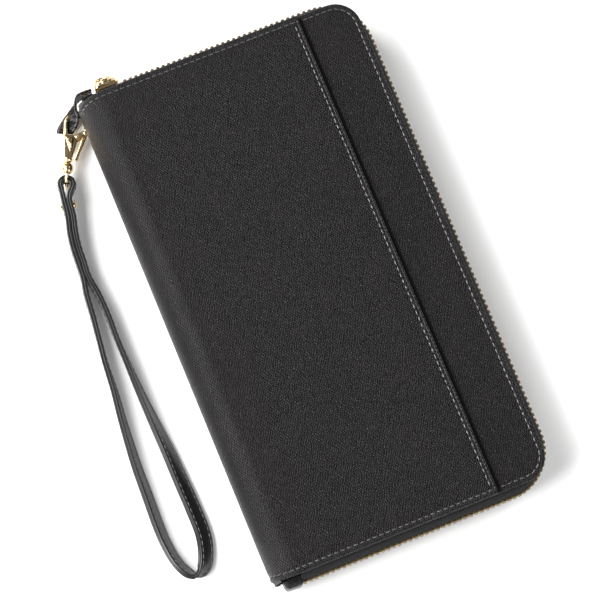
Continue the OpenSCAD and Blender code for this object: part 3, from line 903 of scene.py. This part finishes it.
ring_w, ring_bend, ring_side, ring_wire = 4, 1.5, 6.2, 0.8
ring_lean = 24
corner_x = ring_w - ring_bend
ring_line = arc_points((corner_x, -ring_bend), ring_bend, 90, 0, 6)
ring_line += arc_points((0, -ring_bend - ring_side), ring_w, 0, -180, 20)
ring_line += arc_points((-corner_x, -ring_bend), ring_bend, 180, 90, 6)
ring_line.append(ring_line[0])
upright = Matrix.Translation((slider_mid_x, hinge_y, zip_mid)) \
    @ Matrix.Rotation(math.radians(90 + ring_lean), 4, "X")
ring_line = [upright @ p for p in ring_line]
pull = make_piece("pull_ring", wire(ring_line, ring_wire, upright.col[2].xyz, True), gold, "pull")
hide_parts("zip_pull")

# ---- leather tab at the zip's end ----
# A strip of the cover's leather, folded on itself and glued, riveted over the end of the
# zip. It stands on edge at its root and twists down to lie on the table.
tab_edges = [
    [(-56.6, 119.2, 6.9), (-56.6, 119.2, 16.5)],
    [(-60.5, 119.3, 6.7), (-60.5, 119.3, 16.4)],
    [(-63.3, 118.8, 5.6), (-62.9, 119.3, 15.4)],
    [(-65.4, 117.8, 4), (-64.2, 118.4, 12.6)],
    [(-67.9, 116.8, 2.4), (-64.7, 117, 9)],
    [(-71.2, 115.4, 1.1), (-64.9, 115.7, 5.6)],
    [(-74.2, 113.2, 0.85), (-64.9, 112.5, 4.6)],
    [(-76, 111.6, 0.8), (-67.2, 109.2, 3.4)],
    [(-77.1, 110, 0.75), (-70.4, 106.8, 1.6)],
]
tab_t = 1.1


def tab_places():
    """Places across the tab whose Y is half its width, between its two edge lines."""
    lines = [[Vector(pair[k]) for pair in tab_edges] for k in (0, 1)]
    low, high = (evenly_smooth(line, 4) for line in lines)
    mids = [(a + b) / 2 for a, b in zip(low, high)]
    found = []
    for i, mid in enumerate(mids):
        ahead = (mids[min(i + 1, len(mids) - 1)] - mids[max(i - 1, 0)]).normalized()
        across = (high[i] - low[i]) / 2
        face = across.cross(ahead).normalized()
        axes = Matrix((face, across, ahead)).transposed().to_4x4()
        found.append(Matrix.Translation(mid) @ axes)
    return found


def evenly_smooth(points, count):
    """A smooth curve with the same number of points between each two given ones."""
    ends = [points[0] * 2 - points[1], *points, points[-1] * 2 - points[-2]]
    return [spline(*ends[i:i + 4], k / count) for i in range(len(points) - 1)
            for k in range(count)] + [points[-1]]


tab_side, tab_lip = tab_t / 2, 0.94
tab_profile = [(tab_side, -tab_lip), (tab_side, tab_lip), (tab_side * 0.5, 1), (-tab_side * 0.5, 1),
               (-tab_side, tab_lip), (-tab_side, -tab_lip), (-tab_side * 0.5, -1),
               (tab_side * 0.5, -1)]
tab_line = tab_places()
tab = make_piece("tab", sweep(tab_profile, tab_line), cover_leather, None)
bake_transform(tab)
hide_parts("zip_tab")
tab_rows = bmesh.new()
for side in (-1, 1):
    for edge in (-0.78, 0.78):
        line = [spot @ Vector((side * tab_side, edge, 0)) for spot in tab_line[1:-1]]
        for point, forward in walk(line, 2.4, 1):
            stamp(tab_rows, stitch, place(point, forward, UP + Vector((0.01, 0, 0))))
tab_seam = make_piece("tab_seam", tab_rows, thread, None)
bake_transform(tab_seam)
tape_tail = make_piece("tape_tail", block((-62, 116.7, 6.9), (-56.8, 117.4, 16.6), 0.25),
                       tape_cloth, "back")
mark_surface(tape_tail)
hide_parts("back_zip_tape")

rivet_r, rivet_reach, rivet_dome = 2.4, 1.3, 0.76
rivet_at = (-59.5, 118.9, zip_mid)
rim = [(rivet_r * math.cos(math.radians(a)), 0.75 * math.sin(math.radians(a)))
       for a in (88, 65, 40, 15, 0)]
upper_head = [(0, rivet_reach + rivet_dome)] + [(r, rivet_reach + z) for r, z in rim]
lower_head = [(r, -z) for r, z in reversed(upper_head)]
bm = turned(upper_head + [(1, rivet_reach), (1, -rivet_reach)] + lower_head)
bmesh.ops.transform(bm, verts=bm.verts, matrix=Matrix.Translation(rivet_at)
                    @ Matrix.Rotation(-math.pi / 2, 4, "X"))
rivet = make_piece("tab_rivet_heads", bm, gold, "tab")
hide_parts("tab_rivet")

# ---- swivel clasp ----
# Die-cast lobster clasp, polished and plated champagne gold. The hook's body carries a
# sprung gate on a pin, and a swivelling ball and eye that the strap folds round.
in_clasp = Matrix.Translation((-73.2, 103, 4.13)) \
    @ Euler((0, math.radians(5.94), math.radians(66))).to_matrix().to_4x4()
clasp_up = in_clasp.col[2].xyz
body_t, hook_r = 3.4, 0.95
hook_centre, hook_round = (9, -1.9), 4.2
pin_at = Vector((4.4, -6.5, 0))
neck_y = 0.7


def placed(part, matrix):
    """Moves a bmesh to its place."""
    bmesh.ops.transform(part, matrix=matrix, verts=part.verts)
    return part


body_outline = [(3.4, 3), (-4, 2.95), (-8, 2.5), (-8, -1), (0.6, -3.2), (2.6, -2.6), (3.4, -1.2)]
body = placed(plate(body_outline, body_t, 0.55, 3), in_clasp)
hook_line = [Vector((1, 2.3, 0)), Vector((5, 2.3, 0))] + arc_points(hook_centre, hook_round, 90, -62, 24)
hook = wire([in_clasp @ p for p in hook_line], hook_r, clasp_up)
arm_outline = [(0.4, -2.6), (2.8, -1.8), (5.4, -5.6), (5.2, -7.2), (3.9, -7.6), (3.1, -6.6)]
arms = [placed(plate(arm_outline, 0.8, 0.25), in_clasp @ Matrix.Translation((0, 0, s * 1.3)))
        for s in (-1, 1)]
towards_eye = in_clasp @ Matrix.Translation((0, neck_y, 0)) @ Matrix.Rotation(-math.pi / 2, 4, "Y")
collar = placed(turned([(0, 7.4), (1.7, 7.4), (2.1, 7.8), (2.1, 8.6), (1.7, 9.0), (1.7, 9.6), (0, 9.6)]),
                towards_eye)
hook_piece = make_piece("clasp_body", joined([body, hook, collar] + arms), gold, "clasp",
                        30)
dimple = make_piece("dimple", placed(turned([(0, 1.1), (0.85, 1.1), (0.85, 3), (0, 3)]), in_clasp),
                    gold, "clasp")
hollow = hook_piece.modifiers.new("dimple", "BOOLEAN")
hollow.object = dimple
hollow.operation = "DIFFERENCE"
bake_modifiers(hook_piece)
bpy.data.objects.remove(dimple)
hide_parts("clasp_hook")

bm = turned([(0, 2.05), (0.45, 2.0), (0.75, 1.8), (0.75, -1.8), (0.45, -2.0), (0, -2.05)])
gate_pin = make_piece("gate_pin", placed(bm, in_clasp @ Matrix.Translation(pin_at)), gold, "clasp")
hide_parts("clasp_gate_pin")

gate_tip = [pin_at, Vector((7, -6.6, 0)), Vector((9.8, -5.9, 0))]
lever_outline = [(4.9, -7.6), (3.6, -7.6), (-1, -6.2), (-5, -4.6), (-8.6, -3.6), (-8.3, -2),
                 (-4.6, -3.1), (0, -4.6), (3.4, -5.3), (5, -5.5)]
lever = placed(plate(lever_outline, 1.5, 0.3), in_clasp)
finger = wire([in_clasp @ p for p in gate_tip], 0.75, clasp_up)
gate = make_piece("clasp_gate_lever", joined([lever, finger]), gold, "gate", 30)
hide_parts("clasp_gate")

ball = placed(turned([(0, 9.8), (1.1, 9.8), (1.9, 10.2), (2.5, 11), (2.75, 12.1), (2.6, 13.1),
                      (2.0, 14.1), (1.2, 14.6), (0, 14.7)]), towards_eye)
eye_x0, eye_x1, eye_high, eye_bend, eye_wire = -20, -15, 5.3, 1.7, 0.8
eye_line = []
eye_left, eye_right, eye_top = eye_x0 + eye_bend, eye_x1 - eye_bend, eye_high - eye_bend
for cx, cy, start in ((eye_right, eye_top, 0), (eye_left, eye_top, 90),
                      (eye_left, -eye_top, 180), (eye_right, -eye_top, 270)):
    eye_line += arc_points((cx, cy), eye_bend, start, start + 90, 6)
eye_line.append(eye_line[0])
on_edge = in_clasp @ Matrix.Translation((0, neck_y, 0)) @ Matrix.Rotation(math.pi / 2, 4, "X")
eye = wire([on_edge @ p for p in eye_line], eye_wire, on_edge.col[2].xyz, True)
swivel = make_piece("clasp_swivel_eye", joined([ball, eye]), gold, "swivel")
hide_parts("clasp_swivel")

# ---- linings ----
# Black twill, glued over the boards inside each cover and on round the spine. Its edges
# run under the zip tapes' hems.
lining_cloth = woven("lining_cloth", (0.018, 0.017, 0.019), (0.05, 0.047, 0.051), 0.35, 0.06, 0.15)
lining_x, lining_y, lining_round = 62, 111.5, 15
lining_t = 0.35
lining_fold = 10.3
roof = 21.3
soft_rim = [(0.1, 0.12), (0.25, 0.08)]
soft_rise = sum(rise for _, rise in soft_rim)


def lining_half(front):
    """A flat lining and its quarter of the spine's, as on the front cover."""
    flat = roof if front else fold_r + lining_fold
    shape = outline(2 * fold_x - lining_x, lining_x, -lining_y, lining_y, lining_round)
    bm = rimmed(shape, flat - soft_rise, soft_rim)
    ramp = 3 if front else 0.01
    edges = cut_at(bm, fold_x + ramp)
    grown = bmesh.ops.extrude_edge_only(bm, edges=edges)["geom"]
    verts = [g for g in grown if isinstance(g, bmesh.types.BMVert)]
    bmesh.ops.translate(bm, vec=(-ramp, 0, fold_r + lining_fold - flat), verts=verts)
    round_fold(bm, [g for g in grown if isinstance(g, bmesh.types.BMEdge)
                    and g.verts[0] in verts and g.verts[1] in verts], 12)
    face_outwards(bm)
    if not front:
        turn_over(bm)
    return bm


for front in (False, True):
    side = "front" if front else "back"
    lining = make_piece(side + "_lining_cloth", lining_half(front), lining_cloth, None)
    thicken(lining, lining_t)
    mark_surface(lining)
    bend_at_fold(lining)
    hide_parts(side + "_lining", "spine_lining")

# ---- mouth of the slip pocket ----
# The panel's long edge is turned over a cord and burnished, which leaves a smooth bead.
# A near-black strip of cloth on the front cover, in the mouth beside it, is painted shadow: it stands for
# the shade inside the pocket's mouth.
bead_leather = grained_leather("bead_leather", (0.003, 0.0028, 0.003), (0.012, 0.01, 0.011), 1.15, 0.1,
                               (0.2, 0.35))
bead_w, bead_h = 1.3, 0.35
bead_profile = [(bead_w / 2 * math.cos(a), bead_h * math.sin(a))
                for a in (math.tau * k / 12 for k in range(12))]
bead_line = [Vector((mouth_x - bead_w / 2, y, z)) for y, z in
             ((-114.5, 23.9), (-113.8, 24.8), (-113, 25), (-60, 25.05), (0, 25.1), (60, 25.05), (113, 25),
              (113.8, 24.8), (114.5, 23.9))]
make_piece("mouth_bead", sweep(bead_profile, places_along(smooth_route(bead_line, 3))), bead_leather,
           "front")
# Painted shadow: a near-black cloth for the strip in the pocket's mouth, where there is only shade
mouth_shadow_cloth = woven("mouth_shadow_cloth", (0.0008, 0.0008, 0.0008), (0.003, 0.003, 0.003), 0.4, 0.05, 0.0)
facing = make_piece("mouth_painted_shadow", block((mouth_x - 3, -112.3, 23.4), (mouth_x + 1.7, 112.3, 23.66), 0.1),
                    mouth_shadow_cloth, "front")
mark_surface(facing)

# ---- pockets and card slots ----
# Flat panels of fine-grained leather and lining, with folded mouths, sewn to the linings
# on the sides that aren't open.
inner_leather = grained_leather("inner_leather", (0.012, 0.011, 0.012), (0.04, 0.037, 0.04), 0.9, 0.16,
                                (0.3, 0.48))
mouth_rim = [(0.08, 0.14), (0.2, 0.1), (0.9, 0.0), (0.3, -0.06), (0.3, 0.06)]


def panel(name, low, high, z, facing, material, thickness=0.4, rim=mouth_rim):
    """A sewn panel between two corners, with its face at a height, facing up or down."""
    bm = rimmed(outline(low[0], high[0], low[1], high[1]), -sum(r for _, r in rim), rim)
    face_outwards(bm)
    bmesh.ops.scale(bm, vec=(1, 1, facing), verts=bm.verts)
    bmesh.ops.translate(bm, vec=(0, 0, z), verts=bm.verts)
    if facing < 0:
        bmesh.ops.reverse_faces(bm, faces=bm.faces)
    piece = make_piece(name, bm, material, None)
    thicken(piece, thickness)
    mark_surface(piece)
    return piece


def seam(name, corners, z, facing, body):
    """A row of stitches through corners, on a face at a height."""
    bm = bmesh.new()
    for point, forward in walk([Vector((x, y, z)) for x, y in corners], stitch_pitch, 1.5):
        stamp(bm, stitch, place(point, forward, UP * facing))
    return make_piece(name, bm, thread, body)


seam_inset = 1.6


def pocket_seam(low, high):
    """The corners of a seam round three sides, open at the top end."""
    x0, x1, y0, y1 = low[0] + seam_inset, high[0] - seam_inset, low[1] + seam_inset, high[1]
    return [(x0, y1), (x0, y0), (x1, y0), (x1, y1)]


ticket = panel("ticket_pocket_panel", (-50, -106), (40, 106), 3.1, 1, lining_cloth)
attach(ticket, "back")
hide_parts("ticket_pocket")
seam("ticket_pocket_seam", [(40, -104.4), (-48.4, -104.4), (-48.4, 104.4), (40, 104.4)], 3.1, 1, "back")
sleeve = panel("passport_sleeve_panel", (-48, -104), (44, 24), 4.0, 1, inner_leather)
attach(sleeve, "back")
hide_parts("passport_sleeve")
seam("passport_sleeve_seam", pocket_seam((-48, -104), (44, 24)), 4.0, 1, "back")

card_step, tile = 16, 0.4
for k in range(1, 6):
    face_z = roof - (6 - k) * tile
    low, high = (-46, -106), (50, -40 + (k - 1) * card_step)
    card = panel(f"card_slot_{k}_panel", low, high, face_z, -1, inner_leather, 0.3)
    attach(card, "front")
    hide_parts(f"card_slot_{k}")
seam("card_slots_seam", pocket_seam((-46, -106), (50, 24)), roof - 5 * tile, -1, "front")

# ---- identity window ----
# A clear vinyl film held in a leather frame, sewn to the front cover's lining.
window = rimmed(outline(-46, 50, 34, 106, 3, 6), -0.24, mouth_rim)
opening = max(window.faces, key=lambda f: f.calc_area())
bmesh.ops.inset_region(window, faces=[opening], thickness=6.2, depth=0, use_boundary=True,
                       use_even_offset=False)
bmesh.ops.delete(window, geom=[opening], context="FACES")
face_outwards(window)
bmesh.ops.scale(window, vec=(1, 1, -1), verts=window.verts)
bmesh.ops.translate(window, vec=(0, 0, 20.5), verts=window.verts)
bmesh.ops.reverse_faces(window, faces=window.faces)
window_piece = make_piece("window_frame_leather", window, inner_leather, None)
thicken(window_piece, 0.5)
mark_surface(window_piece)
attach(window_piece, "front")
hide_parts("window_frame")
vinyl, tree, shader = new_material("vinyl", Transmission_Weight=0.85, IOR=1.5)
where = add_node(tree, "ShaderNodeTexCoord").outputs["Object"]
ripple = add_node(tree, "ShaderNodeTexNoise", {"Vector": where, "Scale": 25.0, "Detail": 2.0})
tree.links.new(mixed(tree, ripple.outputs["Fac"], (0.82, 0.85, 0.88), (0.92, 0.94, 0.96)),
               shader.inputs["Base Color"])
tree.links.new(between(tree, ripple.outputs["Fac"], 0.03, 0.12), shader.inputs["Roughness"])
bumped(tree, shader, ripple.outputs["Fac"], 0.4, 0.4)
film = panel("window_film_sheet", (-39, 41), (43, 99), 20.95, -1, vinyl, 0.2, soft_rim)
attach(film, "front")
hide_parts("window_film")

# ---- middle pocket ----
# Two panels of lining cloth joined by an elastic gusset on three sides, hung on a cloth
# hinge that is sewn inside the spine. Its long side towards the zip is open.
elastic = woven("elastic", (0.008, 0.008, 0.009), (0.035, 0.034, 0.037), 0.8, 0.3, 0.1)
page_low, page_high = (-56, -106), (44, 106)
page_seam = [(43, -104.4), (-54.4, -104.4), (-54.4, 104.4), (43, 104.4)]
for name, node, z, facing in (("back", "middle_back_panel", 8.95, -1),
                              ("front", "middle_front_panel", 14.35, 1)):
    page = panel(f"middle_{name}_cloth", page_low, page_high, z, facing, lining_cloth,
                 0.35)
    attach(page, "middle")
    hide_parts(node)
    seam(f"middle_{name}_seam", page_seam, z, facing, "middle")
pleat = [(0, 9.3), (-1.3, 10.5), (0, 11.65), (-1.3, 12.8), (0, 14), (0.55, 13.6), (-0.6, 12.8),
         (0.6, 11.65), (-0.6, 10.5), (0.55, 9.7)]
gusset_line = [Vector((40, 105.2, 0)), Vector((-55.2, 105.2, 0)), Vector((-55.2, -105.2, 0)),
               Vector((40, -105.2, 0))]
gusset = make_piece("gusset", sweep([(-x, z) for x, z in pleat], places_along(gusset_line)), elastic,
                    "middle")
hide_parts("middle_gusset")
hinge = panel("middle_hinge_cloth", (-63.1, -106), (-55.4, 106), 12.0, 1, lining_cloth, 0.4,
              [(0.05, 0.1), (0.1, 0.05)])
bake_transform(hinge)
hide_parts("middle_hinge")

# ---- pen loop ----
# A band of ribbed elastic, sewn into a tube beside the passport sleeve.
loop_r, loop_len = 4.65, 36
loop_profile = outline(-0.35, 0.35, -loop_len / 2, loop_len / 2, 0.2, 2)
loop_line = [Vector((51 + loop_r * math.cos(a), 6, 7.2 + loop_r * math.sin(a)))
             for a in (math.tau * k / 32 for k in range(32))]
loop_line.append(loop_line[0])
loop_places = []
for k in range(33):
    ahead = loop_line[(k + 1) % 32] - loop_line[(k - 1) % 32]
    loop_places.append(place(loop_line[k], ahead, Vector((0, 1, 0))))
pen = make_piece("pen_loop_elastic", sweep(loop_profile, loop_places, True), elastic, "back")
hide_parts("pen_loop")

# ---- boards and filler ----
# Black fibre board stiffens both covers, and felt fills the spine. The lining and
# the leather hide them.
board_fibre, tree, shader = new_material("board_fibre", Roughness=0.9)
where = add_node(tree, "ShaderNodeTexCoord").outputs["Object"]
fibres = add_node(tree, "ShaderNodeTexNoise", {"Vector": where, "Scale": 900.0, "Detail": 6.0})
tree.links.new(mixed(tree, fibres.outputs["Fac"], (0.02, 0.019, 0.018), (0.05, 0.047, 0.043)),
               shader.inputs["Base Color"])
bumped(tree, shader, fibres.outputs["Fac"], 0.1, 0.6)
for name in ("back_board", "front_board", "spine_filler"):
    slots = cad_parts[name].data.materials
    slots.clear()
    slots.append(board_fibre)

# ---- floor and light ----
# A pale seamless table under a large soft light, with a strip light along the spine
# side that draws the bright line on the fold. Two weak lights fill the other sides.
floor_material, tree, shader = new_material("floor", Roughness=0.85)
where = add_node(tree, "ShaderNodeTexCoord").outputs["Object"]
mottle = add_node(tree, "ShaderNodeTexNoise", {"Vector": where, "Scale": 30.0, "Detail": 4.0})
tree.links.new(mixed(tree, mottle.outputs["Fac"], (0.93, 0.93, 0.93), (0.95, 0.95, 0.95)),
               shader.inputs["Base Color"])
bm = bmesh.new()
bmesh.ops.create_grid(bm, x_segments=1, y_segments=1, size=4,
                      matrix=Matrix.Translation((0, 0, cad_box[0][2])))
floor_mesh = bpy.data.meshes.new("floor")
bm.to_mesh(floor_mesh)
bm.free()
floor_mesh.materials.append(floor_material)
floor = bpy.data.objects.new("floor", floor_mesh)
bpy.context.scene.collection.objects.link(floor)


def soft_light(name, location, target, size, power):
    """A rectangular light aimed at a point, with its size in metres and power in watts."""
    data = bpy.data.lights.new(name, "AREA")
    data.shape = "RECTANGLE"
    data.size, data.size_y = size
    data.energy = power
    light = bpy.data.objects.new(name, data)
    light.location = location
    light.rotation_euler = (Vector(target) - Vector(location)).to_track_quat("-Z", "Y").to_euler()
    bpy.context.scene.collection.objects.link(light)


soft_light("back_left", (-0.85, 0.85, 0.9), (0, 0, 0), (1.0, 1.0), 38)
soft_light("spine_strip", (-1.0, -0.15, 0.45), (-0.05, 0, 0), (0.35, 1.6), 24)
soft_light("right_fill", (1.2, 0.2, 0.7), (0, 0, 0), (0.9, 0.9), 9)
soft_light("front_fill", (0.1, -1.3, 0.7), (0, 0, 0), (0.9, 0.9), 10)
world = bpy.data.worlds.new("studio")
world.use_nodes = True
world.node_tree.nodes["Background"].inputs["Color"].default_value = (1, 1, 1, 1)
world.node_tree.nodes["Background"].inputs["Strength"].default_value = 0.2
bpy.context.scene.world = world
bpy.context.scene.view_settings.view_transform = "Standard"
